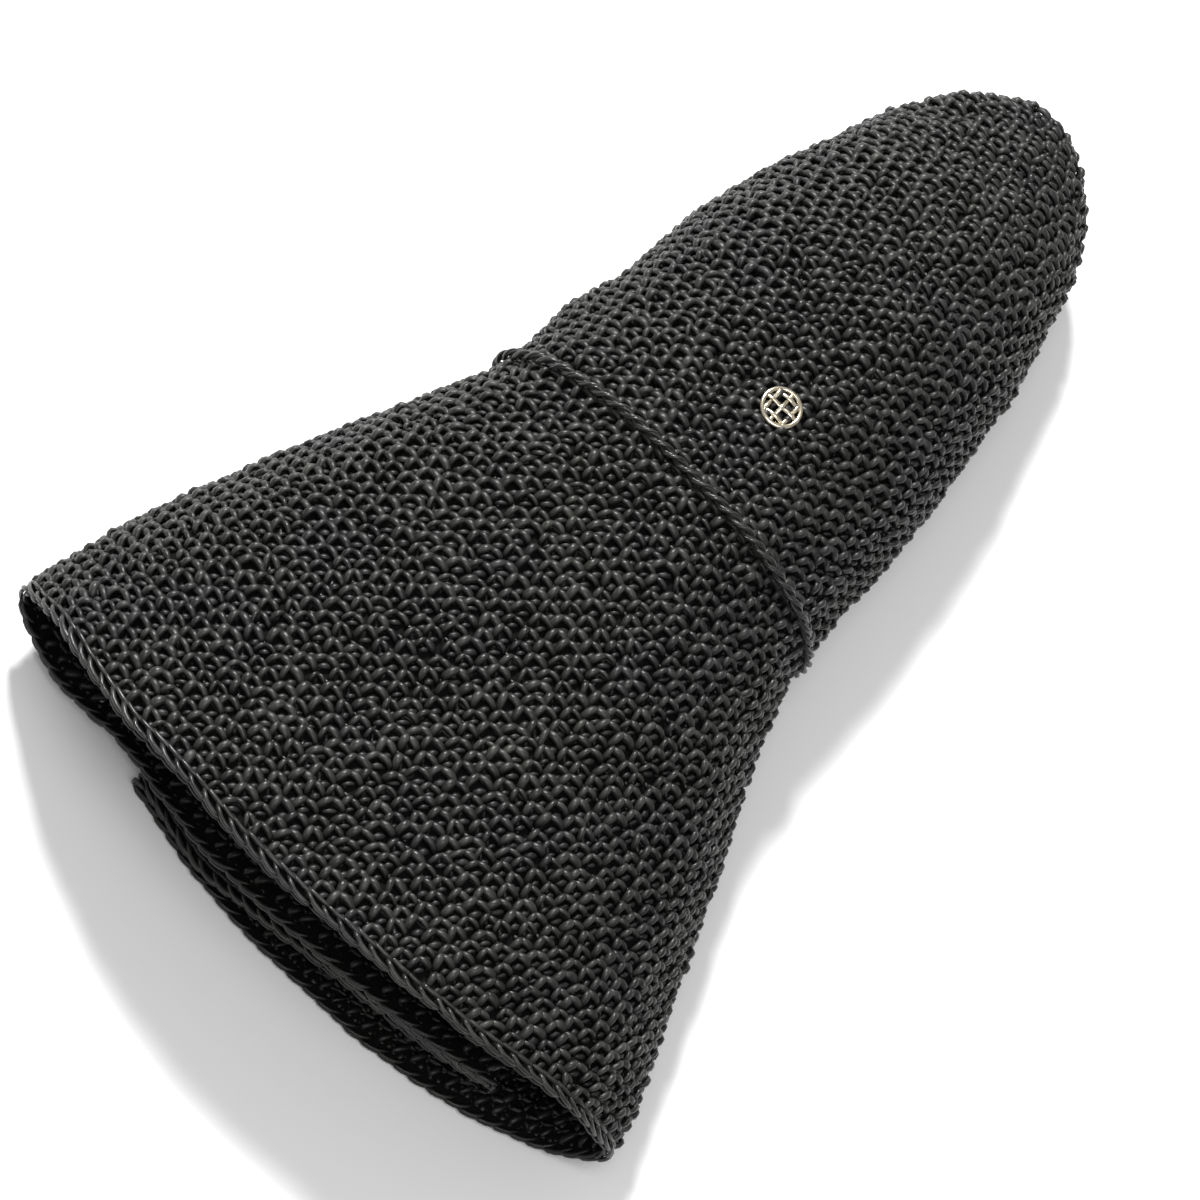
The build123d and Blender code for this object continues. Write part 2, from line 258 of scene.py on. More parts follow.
def handmade_unevenness(points, at):
    """Long soft waves, as in a cloth that is worked by hand."""
    normal = surface_normals(points)
    t = np.arange(COLUMNS)[None] / COLUMNS
    wave = np.zeros((len(at), COLUMNS))
    for _ in range(SOFT_WAVES):
        turns, length = rng.integers(3, 14), rng.uniform(28, 90)
        wave += np.sin(TURN * (turns * t + at[:, None] / length + rng.random()))
    fade = np.clip((at[-1] - at) / WAVE_FADE, 0, 1)[:, None]
    return points + normal * (WAVE_HEIGHT * wave * fade)[..., None]


skin, skin_normal, skin_at, neck_at = make_surface()
tip_at = skin_at[-1]
rim_x = skin[int(BEYOND_RIM / ROW_STEP), :, 0]
leftmost = int(rim_x.argmin())
beside_pleat = leftmost + int((rim_x[leftmost:leftmost + COLUMNS // 4] < BESIDE_PLEAT).sum())
single_layer = (leftmost / COLUMNS, beside_pleat / COLUMNS)     # shares of the way round
pressed = np.interp(skin[..., 2], PRESSED_BETWEEN, (PRESSED_SHARE, 1.0))[..., None]
around = lengths_along(np.concatenate([skin, skin[:, :1]], axis=1))[:, -1]


def on_skin(along, turn, out=0.0):
    """Points at that distance from the rim, share of the way round and height off the middle."""
    row = np.clip((along - skin_at[0]) / ROW_STEP, 0, len(skin_at) - 1.001)
    column = (turn % 1.0) * COLUMNS
    i, j = row.astype(int), np.minimum(column.astype(int), COLUMNS - 1)
    fi, fj = (row - i)[..., None], (column - j)[..., None]
    k = (j + 1) % COLUMNS

    def mixed(grid):
        first = grid[i, j] * (1 - fj) + grid[i, k] * fj
        return first * (1 - fi) + (grid[i + 1, j] * (1 - fj) + grid[i + 1, k] * fj) * fi

    normal = unit(mixed(skin_normal))
    return mixed(skin) + normal * np.asarray(out)[..., None] * mixed(pressed), normal


# ---- meshes -------------------------------------------------------------------------------
def make_mesh(name, points, faces_by_size, material, uv, tone=None):
    """A mesh object from points in mm. faces_by_size holds arrays of faces with equal corners.

    uv holds the same corners' places on the strand map, and tone each point's share of the dye.
    """
    mesh = bpy.data.meshes.new(name)
    faces_by_size = [f for f in faces_by_size if len(f)]
    corners = np.concatenate([f.ravel() for f in faces_by_size])
    sizes = np.concatenate([np.full(len(f), f.shape[1]) for f in faces_by_size])
    starts = np.concatenate([[0], np.cumsum(sizes)[:-1]])
    mesh.vertices.add(len(points))
    mesh.vertices.foreach_set("co", (points * MM).astype(np.float32).ravel())
    mesh.loops.add(len(corners))
    mesh.loops.foreach_set("vertex_index", corners.astype(np.int32))
    mesh.polygons.add(len(sizes))
    mesh.polygons.foreach_set("loop_start", starts.astype(np.int32))
    layer = mesh.uv_layers.new(name="strand")
    corner_uv = np.concatenate([u.reshape(-1, 2) for u in uv])
    layer.data.foreach_set("uv", corner_uv.astype(np.float32).ravel())
    if tone is not None:
        layer = mesh.attributes.new("tone", "FLOAT", "POINT")
        layer.data.foreach_set("value", tone.astype(np.float32))
    mesh.update(calc_edges=True)
    mesh.validate()
    mesh.shade_smooth()
    mesh.materials.append(material)
    piece = bpy.data.objects.new(name, mesh)
    bpy.context.scene.collection.objects.link(piece)
    return piece


def strands(name, line, normal, half_width, half_depth, tone, material, sides=6, closed=False):
    """Many flattened strands as one mesh. line and normal are (strands, points, 3).

    A normal points the way its strand is thin. The map runs round the strand and, in mm, along it.
    """
    if closed:
        along = np.roll(line, -1, axis=1) - np.roll(line, 1, axis=1)
    else:
        along = np.gradient(line, axis=1)
    along = unit(along)
    side = unit(np.cross(normal, along))
    up = np.cross(along, side)
    count, length = line.shape[:2]
    half_width, half_depth = (np.broadcast_to(r, (count, length)) for r in (half_width, half_depth))
    angle = TURN * np.arange(sides) / sides
    points = (
        line[:, :, None]
        + side[:, :, None] * (half_width[..., None] * np.cos(angle))[..., None]
        + up[:, :, None] * (half_depth[..., None] * np.sin(angle))[..., None]
    )
    index = np.arange(count * length * sides).reshape(count, length, sides)
    ahead = np.roll(index, -1, axis=1) if closed else index[:, 1:]
    here = index if closed else index[:, :-1]
    quads = np.stack([here, ahead, np.roll(ahead, -1, axis=2), np.roll(here, -1, axis=2)], axis=-1)
    run = lengths_along(line)
    if closed:
        run = np.concatenate([run, run[:, -1:] + 1], axis=1)
    across = np.broadcast_to(np.arange(sides) / sides, quads.shape[:3])
    first, last = (np.broadcast_to(r[..., None], quads.shape[:3]) for r in (run[:, :-1], run[:, 1:]))
    step = 1 / sides
    quad_uv = np.stack([
        np.stack([across, first], -1), np.stack([across, last], -1),
        np.stack([across + step, last], -1), np.stack([across + step, first], -1),
    ], axis=-2)
    faces, uv = [quads.reshape(-1, 4)], [quad_uv]
    if not closed:
        ends = np.concatenate([index[:, 0], index[:, -1, ::-1]])
        faces.append(ends)
        uv.append(np.zeros(ends.shape + (2,)))
    tones = np.repeat(np.broadcast_to(tone, (count,)), length * sides)
    return make_mesh(name, points.reshape(-1, 3), faces, material, uv, tones)


# ---- materials ----------------------------------------------------------------------------
def node(tree, kind, values=(), **settings):
    """A new node with its settings, and sockets set by name or number."""
    made = tree.nodes.new(kind)
    for key, value in settings.items():
        setattr(made, key, value)
    for key, value in dict(values).items():
        if isinstance(value, bpy.types.NodeSocket):
            tree.links.new(value, made.inputs[key])
        else:
            made.inputs[key].default_value = value
    return made


def new_group(name, inputs, outputs):
    """A shader node group with named sockets, and its two end nodes."""
    tree = bpy.data.node_groups.new(name, "ShaderNodeTree")
    for label, kind, value in inputs:
        socket = tree.interface.new_socket(label, in_out="INPUT", socket_type=kind)
        if value is not None:
            socket.default_value = value
    for label, kind in outputs:
        tree.interface.new_socket(label, in_out="OUTPUT", socket_type=kind)
    return tree, tree.nodes.new("NodeGroupInput").outputs, tree.nodes.new("NodeGroupOutput").inputs


def ramp(tree, factor, stops):
    """A colour ramp with (position, grey or colour) stops, read from a factor socket."""
    made = node(tree, "ShaderNodeValToRGB", {"Fac": factor})
    elements = made.color_ramp.elements
    for element, (position, _) in zip((elements[0], elements[1]), (stops[0], stops[-1])):
        element.position = position
    for position, _ in stops[1:-1]:
        elements.new(position)
    for element, (_, colour) in zip(elements, stops):
        element.color = (colour, colour, colour, 1) if isinstance(colour, float) else (*colour, 1)
    return made.outputs["Color"]


STRANDS_APART = 57.0        # so that each strand has its own place in the noise


def raffia_fibre_group():
    """Fine fibres that run along each strand, the uneven dye from strand to strand, and dust."""
    tree, given, out = new_group(
        "raffia_fibre",
        [("Fibres", "NodeSocketFloat", 7.0), ("Run", "NodeSocketFloat", 0.22)],
        [("Fibre", "NodeSocketFloat"), ("Dye", "NodeSocketFloat"), ("Dust", "NodeSocketFloat")],
    )
    strand = node(tree, "ShaderNodeUVMap", uv_map="strand").outputs["UV"]
    parts = node(tree, "ShaderNodeSeparateXYZ", {0: strand}).outputs
    tone = node(tree, "ShaderNodeAttribute", attribute_name="tone").outputs["Fac"]
    across = node(tree, "ShaderNodeMath", {0: parts["X"], 1: given["Fibres"]}, operation="MULTIPLY")
    along = node(tree, "ShaderNodeMath", {0: parts["Y"], 1: given["Run"]}, operation="MULTIPLY")
    own = node(tree, "ShaderNodeMath", {0: tone, 1: STRANDS_APART}, operation="MULTIPLY")
    place = node(
        tree, "ShaderNodeCombineXYZ",
        {"X": across.outputs[0], "Y": along.outputs[0], "Z": own.outputs[0]},
    )
    fibre = node(
        tree, "ShaderNodeTexNoise",
        {"Vector": place.outputs[0], "Scale": 1.0, "Detail": 3.0, "Roughness": 0.65},
    )
    dye = node(tree, "ShaderNodeMapRange", {"Value": tone, "To Min": 0.55, "To Max": 1.5})
    tree.links.new(fibre.outputs["Fac"], out["Fibre"])
    tree.links.new(dye.outputs["Result"], out["Dye"])
    where = node(tree, "ShaderNodeTexCoord").outputs["Object"]
    dust = node(
        tree, "ShaderNodeTexNoise",
        {"Vector": where, "Scale": 26.0, "Detail": 4.0, "Roughness": 0.6},
    )
    tree.links.new(dust.outputs["Fac"], out["Dust"])
    return tree


raffia_fibre = raffia_fibre_group()


def raffia(name, dark, light, roughness, gloss=0.35, bump=0.35, fibres=7.0):
    """Dyed raffia: glossy flat strips with fine lengthwise fibres."""
    material = bpy.data.materials.new(name)
    material.use_nodes = True
    tree = material.node_tree
    shader = tree.nodes["Principled BSDF"]
    fibre = node(tree, "ShaderNodeGroup", node_tree=raffia_fibre)
    fibre.inputs["Fibres"].default_value = fibres
    grain = ramp(tree, fibre.outputs["Fibre"], [(0.3, dark), (0.72, light)])
    dyed = node(
        tree, "ShaderNodeVectorMath", {0: grain, 1: fibre.outputs["Dye"]}, operation="MULTIPLY"
    ).outputs[0]
    worn = ramp(tree, fibre.outputs["Dust"], [(0.35, (0.86, 0.86, 0.9)), (0.65, (1.12, 1.1, 1.02))])
    colour = node(tree, "ShaderNodeVectorMath", {0: dyed, 1: worn}, operation="MULTIPLY").outputs[0]
    tree.links.new(colour, shader.inputs["Base Color"])
    rough = node(
        tree, "ShaderNodeMapRange",
        {"Value": fibre.outputs["Fibre"], "From Min": 0.3, "From Max": 0.7,
         "To Min": roughness - 0.08, "To Max": roughness + 0.12},
    )
    tree.links.new(rough.outputs["Result"], shader.inputs["Roughness"])
    relief = node(
        tree, "ShaderNodeBump",
        {"Strength": bump, "Distance": 0.00025, "Height": fibre.outputs["Fibre"]},
    )
    tree.links.new(relief.outputs["Normal"], shader.inputs["Normal"])
    shader.inputs["Specular IOR Level"].default_value = gloss
    return material


def plain_material(name, colour, roughness):
    """One even colour, for the studio floor."""
    material = bpy.data.materials.new(name)
    material.use_nodes = True
    shader = material.node_tree.nodes["Principled BSDF"]
    shader.inputs["Base Color"].default_value = (*colour, 1)
    shader.inputs["Roughness"].default_value = roughness
    return material


# Legs, bars and bodies are one raffia in three copies: the legs' lighter colour is a painted
# highlight, and the bars' middle colour and the bodies' darker colour are painted shade.
raffia_front_painted_highlight = raffia("raffia_front_painted_highlight", (0.009, 0.009, 0.0086), (0.031, 0.031, 0.0295), 0.40)
raffia_bar_painted_half_shade = raffia("raffia_bar_painted_half_shade", (0.006, 0.006, 0.0057), (0.019, 0.019, 0.018), 0.42)
raffia_low_painted_shade = raffia("raffia_low_painted_shade", (0.003, 0.003, 0.003), (0.011, 0.011, 0.0105), 0.46)
# A darker copy of the same raffia for the inside strands and the edging's underside: painted shade
# for the hat's shaded inside.
raffia_inside_painted_shade = raffia("raffia_inside_painted_shade", (0.004, 0.004, 0.0039), (0.014, 0.014, 0.0133), 0.40)
# A near-black raffia for the web under the strands: painted shade for the dark gaps between them.
raffia_ground_painted_shade = raffia(
    "raffia_ground_painted_shade", (0.0015, 0.0015, 0.0015), (0.004, 0.004, 0.0038), 0.8, gloss=0.1
)
raffia_edge = raffia("raffia_edge", (0.009, 0.009, 0.0087), (0.034, 0.034, 0.0325), 0.32)
raffia_cord = raffia("raffia_cord", (0.008, 0.008, 0.0078), (0.034, 0.034, 0.033), 0.26)

# ---- crochet ------------------------------------------------------------------------------
# A stitch's strands as (across, along, out) points: shares of the stitch's width and of the
# round's height from the stitch's middle, and mm off the middle of the crochet. The widths are
# shares of the strand's own, along it.
LEG = np.array([
    (-0.30, -0.58, -0.60), (-0.33, -0.38, 0.75), (-0.33, -0.14, 1.70), (-0.30, 0.08, 1.95),
    (-0.24, 0.28, 1.45), (-0.16, 0.46, 0.10),
])
LEG_WIDTH = np.array((0.60, 0.98, 1.14, 1.14, 0.96, 0.56))
BAR = np.array([
    (-0.30, 0.20, -0.10), (-0.13, 0.32, 1.05), (0.10, 0.36, 1.45), (0.33, 0.33, 1.30),
    (0.54, 0.25, 0.70), (0.70, 0.14, -0.50),
])
BAR_WIDTH = np.array((0.58, 1.00, 1.14, 1.10, 0.94, 0.58))
BODY = np.array([
    (0.06, -0.58, -0.60), (0.10, -0.42, 0.25), (0.22, -0.24, 0.60), (0.36, -0.08, 0.35),
    (0.47, 0.08, -0.40),
])
BODY_WIDTH = np.array((0.60, 1.00, 1.10, 1.00, 0.60))
INSIDE_RIB = np.array([
    (0.20, -0.56, -0.30), (0.16, -0.30, -1.15), (0.0, 0.0, -1.45), (-0.16, 0.30, -1.15),
    (-0.20, 0.56, -0.30),
])
RIB_WIDTH = np.array((0.60, 1.05, 1.15, 1.05, 0.60))
INSIDE_BAR = np.array([
    (-0.62, 0.30, -0.20), (-0.34, 0.38, -0.75), (0.0, 0.42, -0.90), (0.34, 0.38, -0.75),
    (0.62, 0.30, -0.20),
])
EVEN_WIDTH = np.array((0.7, 1.0, 1.0, 1.0, 1.0, 0.7))
EDGE_LOW = np.array([
    (-0.78, 0.30, 0.55), (-0.50, -0.05, 1.25), (-0.20, -0.32, 1.30), (0.15, -0.44, 1.15),
    (0.50, -0.46, 0.95), (0.80, -0.36, 0.55),
])
EDGE_HIGH = np.array([
    (-0.72, 0.62, 0.20), (-0.42, 0.48, 0.95), (0.0, 0.40, 1.15), (0.42, 0.40, 1.00),
    (0.78, 0.50, 0.30),
])
EDGE_UNDER = EDGE_LOW * (1, 1, -1)
# The finish column holds lighter and darker copies of one raffia: a painted highlight on the legs,
# and painted shade on the bars, the bodies and the inside strands.
PATTERNS = [                # name, points, widths, half width and half depth in mm, finish, sides
    ("legs", LEG, LEG_WIDTH, 1.10, 0.90, raffia_front_painted_highlight, 6),
    ("bars", BAR, BAR_WIDTH, 1.14, 0.88, raffia_bar_painted_half_shade, 6),
    ("bodies", BODY, BODY_WIDTH, 1.06, 0.74, raffia_low_painted_shade, 5),
    ("inner_ribs", INSIDE_RIB, RIB_WIDTH, 1.15, 0.72, raffia_inside_painted_shade, 5),
    ("inner_bars", INSIDE_BAR, RIB_WIDTH, 0.95, 0.55, raffia_inside_painted_shade, 5),
]
HOLE_ACROSS, HOLE_ALONG = 0.06, -0.02               # a stitch's hole, in the same shares
HOLE_HALF_WIDTH, HOLE_HALF_HEIGHT, HOLE_LEAN = 0.15, 0.22, 0.5
OPEN_SHARE = 0.62           # share of the stitches that leave an open hole
OPEN_UP_TO = 24.0           # mm from the rim; open holes show there in the single layer
WEB_OFF = -0.7              # mm off the middle of the crochet
WEB_MAP_WIDTH = 150.0       # how wide the web is on the strand map
CLOSING_RISE = 0.4          # mm that the drawn-in start of the crown stands up
DRIFT_EACH_ROUND = 0.14     # share of a stitch by which each round starts further round
# How much stitches differ in shift across, shift along, lean, size and dye.
STITCH_SPREAD = np.array([[0.09], [0.07], [0.17], [0.09], [0.24]])


def rounds(first, last, pitch):
    """Where each round's lower edge is, its height, and its number of stitches."""
    count = max(1, round((last - first) / pitch))
    height = (last - first) / count
    lower = first + height * np.arange(count)
    girth = np.interp(lower + height / 2, skin_at, around)
    stitches = np.maximum(np.round(girth / STITCH_WIDTH / 4).astype(int) * 4, 6)
    return [(a, height, n) for a, n in zip(lower, stitches)]


brim_rounds = rounds(EDGING_WIDTH, neck_at, 5.35)
side_end_at = np.interp(TOP_Y - ORIGIN_Y, skin[:, 0, 1], skin_at)
side_rounds = rounds(neck_at, side_end_at, 4.85)
tip_rounds = rounds(side_end_at, tip_at - 3.0, 4.1)
edge_round = [(0.0, EDGING_WIDTH, brim_rounds[0][2])]
drift, character = {}, {}
for number, (lower, _, stitches) in enumerate(edge_round + brim_rounds + side_rounds + tip_rounds):
    drift[lower] = DRIFT_EACH_ROUND * number + 0.05 * rng.standard_normal()
    character[lower] = rng.standard_normal((len(STITCH_SPREAD), stitches)) * STITCH_SPREAD


def stitch_strands(
    name, some_rounds, pattern, width_along, half_width, half_depth, material, sides=6, uneven=1.0
):
    """The same strand of every stitch in some rounds, each a little different, as one piece."""
    lines, normals, widths, depths, tones = [], [], [], [], []

    def jitter(spread):
        return uneven * spread * rng.standard_normal((count, 1))

    for lower, height, count in some_rounds:
        middle = np.arange(count) + drift[lower]
        shift, climb, lean, size, dye = uneven * character[lower][:, :, None]
        px, py = pattern[:, 0], pattern[:, 1]
        across = middle[:, None] - px * (1 + size + jitter(0.05)) - lean * py - shift + jitter(0.03)
        climbed = py * (1 + size + jitter(0.04)) + climb + jitter(0.03) + 0.3 * lean * px
        along = lower + height * (0.5 + climbed)
        out = pattern[:, 2] * (1 + 1.2 * size + jitter(0.10))
        point, normal = on_skin(along, across / count, out)
        lines.append(point)
        normals.append(normal)
        scale = np.clip(1 + size + jitter(0.12), 0.7, 1.4)
        narrowing = min(1.0, np.interp(lower, skin_at, around) / count / STITCH_WIDTH)
        widths.append(half_width * width_along * scale * narrowing)
        depths.append(half_depth * width_along * np.clip(1 + jitter(0.10), 0.75, 1.3))
        tones.append(np.clip(0.45 + dye[:, 0] + 0.08 * rng.standard_normal(count), 0, 1))
    return strands(
        name, np.concatenate(lines), np.concatenate(normals), np.concatenate(widths),
        np.concatenate(depths), np.concatenate(tones), material, sides,
    )


def ground(name, first, last, columns, row_height, stitch_rounds, closes=False):
    """A thin near-black web under the strands, painted shade for the gaps between them, with the
    small hole that each stitch leaves.

    If it closes, its last line is drawn together to a shallow point, as where the crown begins.
    """
    rows = max(2, round((last - first) / row_height))
    along = np.linspace(first, last, rows + 1)
    turn = np.arange(columns) / columns
    every_along, every_turn = np.broadcast_arrays(along[:, None], turn[None])
    grid, _ = on_skin(every_along, every_turn, np.full(every_turn.shape, WEB_OFF))
    index, right, quads = grid_round(rows + 1, columns)
    keep = np.ones((rows, columns), bool)
    mid_along = (along[:-1] + along[1:]) / 2
    mid_turn = turn + 0.5 / columns
    for lower, height, count in stitch_rounds:
        band = (mid_along >= lower) & (mid_along < lower + height)
        local = (mid_along[band, None] - lower) / height - 0.5 - HOLE_ALONG
        place = mid_turn * count - drift[lower] - HOLE_ACROSS
        nearest = np.round(place)
        leaning = (place - nearest)[None] - HOLE_LEAN * local
        hole = (leaning / HOLE_HALF_WIDTH) ** 2 + (local / HOLE_HALF_HEIGHT) ** 2 < 1
        open_stitch = (rng.random(count + 1) < OPEN_SHARE)[nearest.astype(int) % count]
        single = (mid_turn > single_layer[0]) & (mid_turn < single_layer[1]) & (lower < OPEN_UP_TO)
        keep[band] &= ~(hole & (open_stitch & single)[None])
    uv_base = np.stack([every_turn * WEB_MAP_WIDTH, every_along], axis=-1).reshape(-1, 2)
    faces = [quads[keep]]
    points = grid.reshape(-1, 3)
    if closes:
        heart = grid[-1].mean(axis=0) + (0, CLOSING_RISE, 0)
        faces.append(np.stack([index[-1], right[-1], np.full(columns, len(points))], axis=-1))
        points = np.concatenate([points, heart[None]])
        uv_base = np.concatenate([uv_base, [(WEB_MAP_WIDTH / 2, last + CLOSING_RISE)]])
    tones = np.full(len(points), 0.4)
    return make_mesh(name, points, faces, raffia_ground_painted_shade, [uv_base[f] for f in faces], tones)


def chunks(some_rounds, count):
    """Rounds split into that many pieces with about as many stitches each."""
    total = np.cumsum([n for _, _, n in some_rounds])
    piece = np.minimum((total - 1) * count // total[-1], count - 1)
    return [[r for r, p in zip(some_rounds, piece) if p == k] for k in range(count)]


def crochet(node_name, some_rounds, pieces, first, last, columns, row_height, closes=False):
    """One CAD node's crochet: its web, its outside and inside strands."""
    web = ground(node_name + "_web", first, last, columns, row_height, some_rounds, closes)
    made = []
    for k, group in enumerate(chunks(some_rounds, pieces), 1):
        for kind, *pattern in PATTERNS:
            made.append(stitch_strands(f"{node_name}_{kind}_{k}", group, *pattern))
    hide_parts(node_name)
    for piece in [web, *made]:
        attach(piece, "root")
    return web, made


brim_web, brim_strands = crochet("brim", brim_rounds, 3, 0.4, neck_at, 620, 1.32)
side_web, side_strands = crochet("crown_side", side_rounds, 2, neck_at, side_end_at, 400, 1.2)
tip_web, tip_strands = crochet(
    "crown_tip", tip_rounds, 1, side_end_at, tip_at - 0.5, 240, 1.0, closes=True
)


def flat_area(first, last):
    """Area of the crochet between two distances from the rim, in square metres."""
    rows = (skin_at >= first) & (skin_at <= last)
    return float(around[rows].sum() * ROW_STEP * MM * MM)


def declare_crochet(first, last):
    """Works out the crochet's size laid out flat: its widest line round by its length, and its area.
    None of it is kept.
    """
    area = flat_area(first, last)
    widest = float(around[(skin_at >= first) & (skin_at <= last)].max()) * MM
    length = (last - first) * MM
    area = min(area, widest * length)


declare_crochet(0.0, neck_at)
declare_crochet(neck_at, side_end_at)
declare_crochet(side_end_at, tip_at)

# ---- rim edging ---------------------------------------------------------------------------
edging_low, edging_high, edging_under = (
    stitch_strands("rim_edging_" + kind, edge_round, *pattern, uneven=0.5)
    for kind, *pattern in (
        ("low", EDGE_LOW, EVEN_WIDTH, 0.86, 0.74, raffia_edge),
        ("high", EDGE_HIGH, EVEN_WIDTH[1:], 0.80, 0.66, raffia_edge),
        ("under", EDGE_UNDER, EVEN_WIDTH, 0.80, 0.60, raffia_inside_painted_shade),
    )
)
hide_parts("rim_edging")
for piece in (edging_low, edging_high, edging_under):
    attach(piece, "root")


# ---- band cord ----------------------------------------------------------------------------
CORD_POINTS = 1500
LAY_TURNS = 44              # whole turns of the plies round the loop
PLY_OFF, STRAND_OFF = 0.98, 0.52        # from the cord's middle to a ply's, and on to a strand's
STRAND_TONES = np.array([0.35, 0.6, 0.5, 0.62, 0.4, 0.55])
LINE_SOFTENING = 6
WHIPPING_REACH = 12         # points of the cord to each side of its join
WHIPPING_TURNS, WHIPPING_POINTS, WHIPPING_RADIUS = 19, 640, 1.78


def closed_line(points, count):
    """A closed line's points again, evenly spaced, softened where it turns."""
    for _ in range(LINE_SOFTENING):
        points = (np.roll(points, 1, axis=0) + 2 * points + np.roll(points, -1, axis=0)) / 4
    loop = np.concatenate([points, points[:1]])
    run = np.concatenate([[0], np.cumsum(np.linalg.norm(np.diff(loop, axis=0), axis=1))])
    at = np.arange(count) / count * run[-1]
    return np.stack([np.interp(at, run, loop[:, k]) for k in range(3)], axis=1)


def circle_in(turn, first, second):
    """Unit vectors at those angles from the first direction towards the second."""
    return np.cos(turn)[:, None] * first + np.sin(turn)[:, None] * second


cord_line = closed_line(section_lines([NECK_Y], CORD_OFF)[0], CORD_POINTS)


def twisted_cord():
    """Two plies of three strands each, laid round the closed cord line."""
    share = np.arange(CORD_POINTS) / CORD_POINTS
    along = np.roll(cord_line, -1, axis=0) - np.roll(cord_line, 1, axis=0)
    along /= np.linalg.norm(along, axis=1, keepdims=True)
    across = np.array([math.sin(NECK_LEAN), math.cos(NECK_LEAN), 0.0])
    out = np.cross(along, across)
    lines, normals = [], []
    for ply in (0, 1):
        ply_out = circle_in(TURN * (LAY_TURNS * share + ply / 2), out, across)
        for strand in range(3):
            own_out = circle_in(TURN * (LAY_TURNS * share + strand / 3), out, across)
            lines.append(cord_line + PLY_OFF * ply_out + STRAND_OFF * own_out)
            normals.append(own_out)
    wave = np.sin(TURN * (37 * share + rng.random((len(lines), 1))))
    half_width = 0.66 * (1 + 0.10 * wave + 0.05 * rng.standard_normal((len(lines), CORD_POINTS)))
    return strands(
        "band_cord_plies", np.array(lines), np.array(normals), half_width, 0.50, STRAND_TONES,
        raffia_cord, 7, closed=True,
    )


band_cord = twisted_cord()
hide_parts("band_cord")
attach(band_cord, "root")


def thread_whipping():
    """Waxed thread wound closely over the join in the cord, on the side it lies on."""
    low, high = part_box("cord_whipping")
    middle = (np.array(low) + np.array(high)) / 2 / MM
    nearest = int(np.linalg.norm(cord_line - middle, axis=1).argmin())
    run = np.linspace(nearest - WHIPPING_REACH, nearest + WHIPPING_REACH, WHIPPING_POINTS)
    i = np.floor(run).astype(int)
    part = (run - i)[:, None]
    here, ahead = cord_line[i % CORD_POINTS], cord_line[(i + 1) % CORD_POINTS]
    centre = here * (1 - part) + ahead * part
    along = cord_line[(nearest + 3) % CORD_POINTS] - cord_line[(nearest - 3) % CORD_POINTS]
    along /= np.linalg.norm(along)
    turn = TURN * WHIPPING_TURNS * np.arange(WHIPPING_POINTS) / WHIPPING_POINTS
    out = circle_in(turn, UP, np.cross(along, UP))
    line = centre + WHIPPING_RADIUS * out
    return strands("cord_whipping_thread", line[None], out[None], 0.25, 0.22, 0.5, thread, 6)


# ---- sweatband, label and badge -----------------------------------------------------------
RIBBON_EDGES = (7.4, 28.6)              # mm past the band line
RIBBON_LINES, RIBBON_THICK = 12, 0.7
RIB_MAP_STEP = 0.93                     # from one of the ribbon's points to the next, on the map
STITCH_LINES = (9.0, 27.0)              # mm past the band line
LOOP_POINTS, STITCH_EVERY, STITCH_POINTS = 1200, 8, 5
THREAD_OFF = -0.42                      # mm off the ribbon's middle, on its inside
TAB_LENGTH, TAB_WIDTH = 0.020, 0.012    # metres, laid out flat
TAB_POINTS = (41, 25)
TAB_HALF_THICK, TAB_CROWN = 0.03, 0.32  # at its edge, and how much more in its middle
TAB_EDGE = 0.12                         # share of the tab that its rounded edge takes up
RING_POINTS, RING_HALF_WIDTH, RING_HALF_DEPTH = 96, 0.85, 0.78
LATTICE_PITCH, LATTICE_POINTS = 4.0, 33
LATTICE_WEAVE, LATTICE_DOME = 0.34, 0.9     # how far a bar goes over and under, and stands up


def ribbed_cloth(name, dark, light, ribs, roughness):
    """Ribbed ribbon: close ribs across its length, read from the strand map."""
    material = bpy.data.materials.new(name)
    material.use_nodes = True
    tree = material.node_tree
    shader = tree.nodes["Principled BSDF"]
    strand = node(tree, "ShaderNodeUVMap", uv_map="strand").outputs["UV"]
    wave = node(
        tree, "ShaderNodeTexWave",
        {"Vector": strand, "Scale": ribs, "Distortion": 0.25, "Detail": 1.0},
        wave_type="BANDS", bands_direction="X",
    )
    # Each rib is coloured darker in its trough and lighter on its crest, following its bump: painted
    # shade and painted highlight.
    colour = ramp(tree, wave.outputs["Fac"], [(0.15, dark), (0.85, light)])
    tree.links.new(colour, shader.inputs["Base Color"])
    relief = node(
        tree, "ShaderNodeBump",
        {"Strength": 0.6, "Distance": 0.0002, "Height": wave.outputs["Fac"]},
    )
    tree.links.new(relief.outputs["Normal"], shader.inputs["Normal"])
    shader.inputs["Roughness"].default_value = roughness
    shader.inputs["Sheen Weight"].default_value = 0.2
    return material


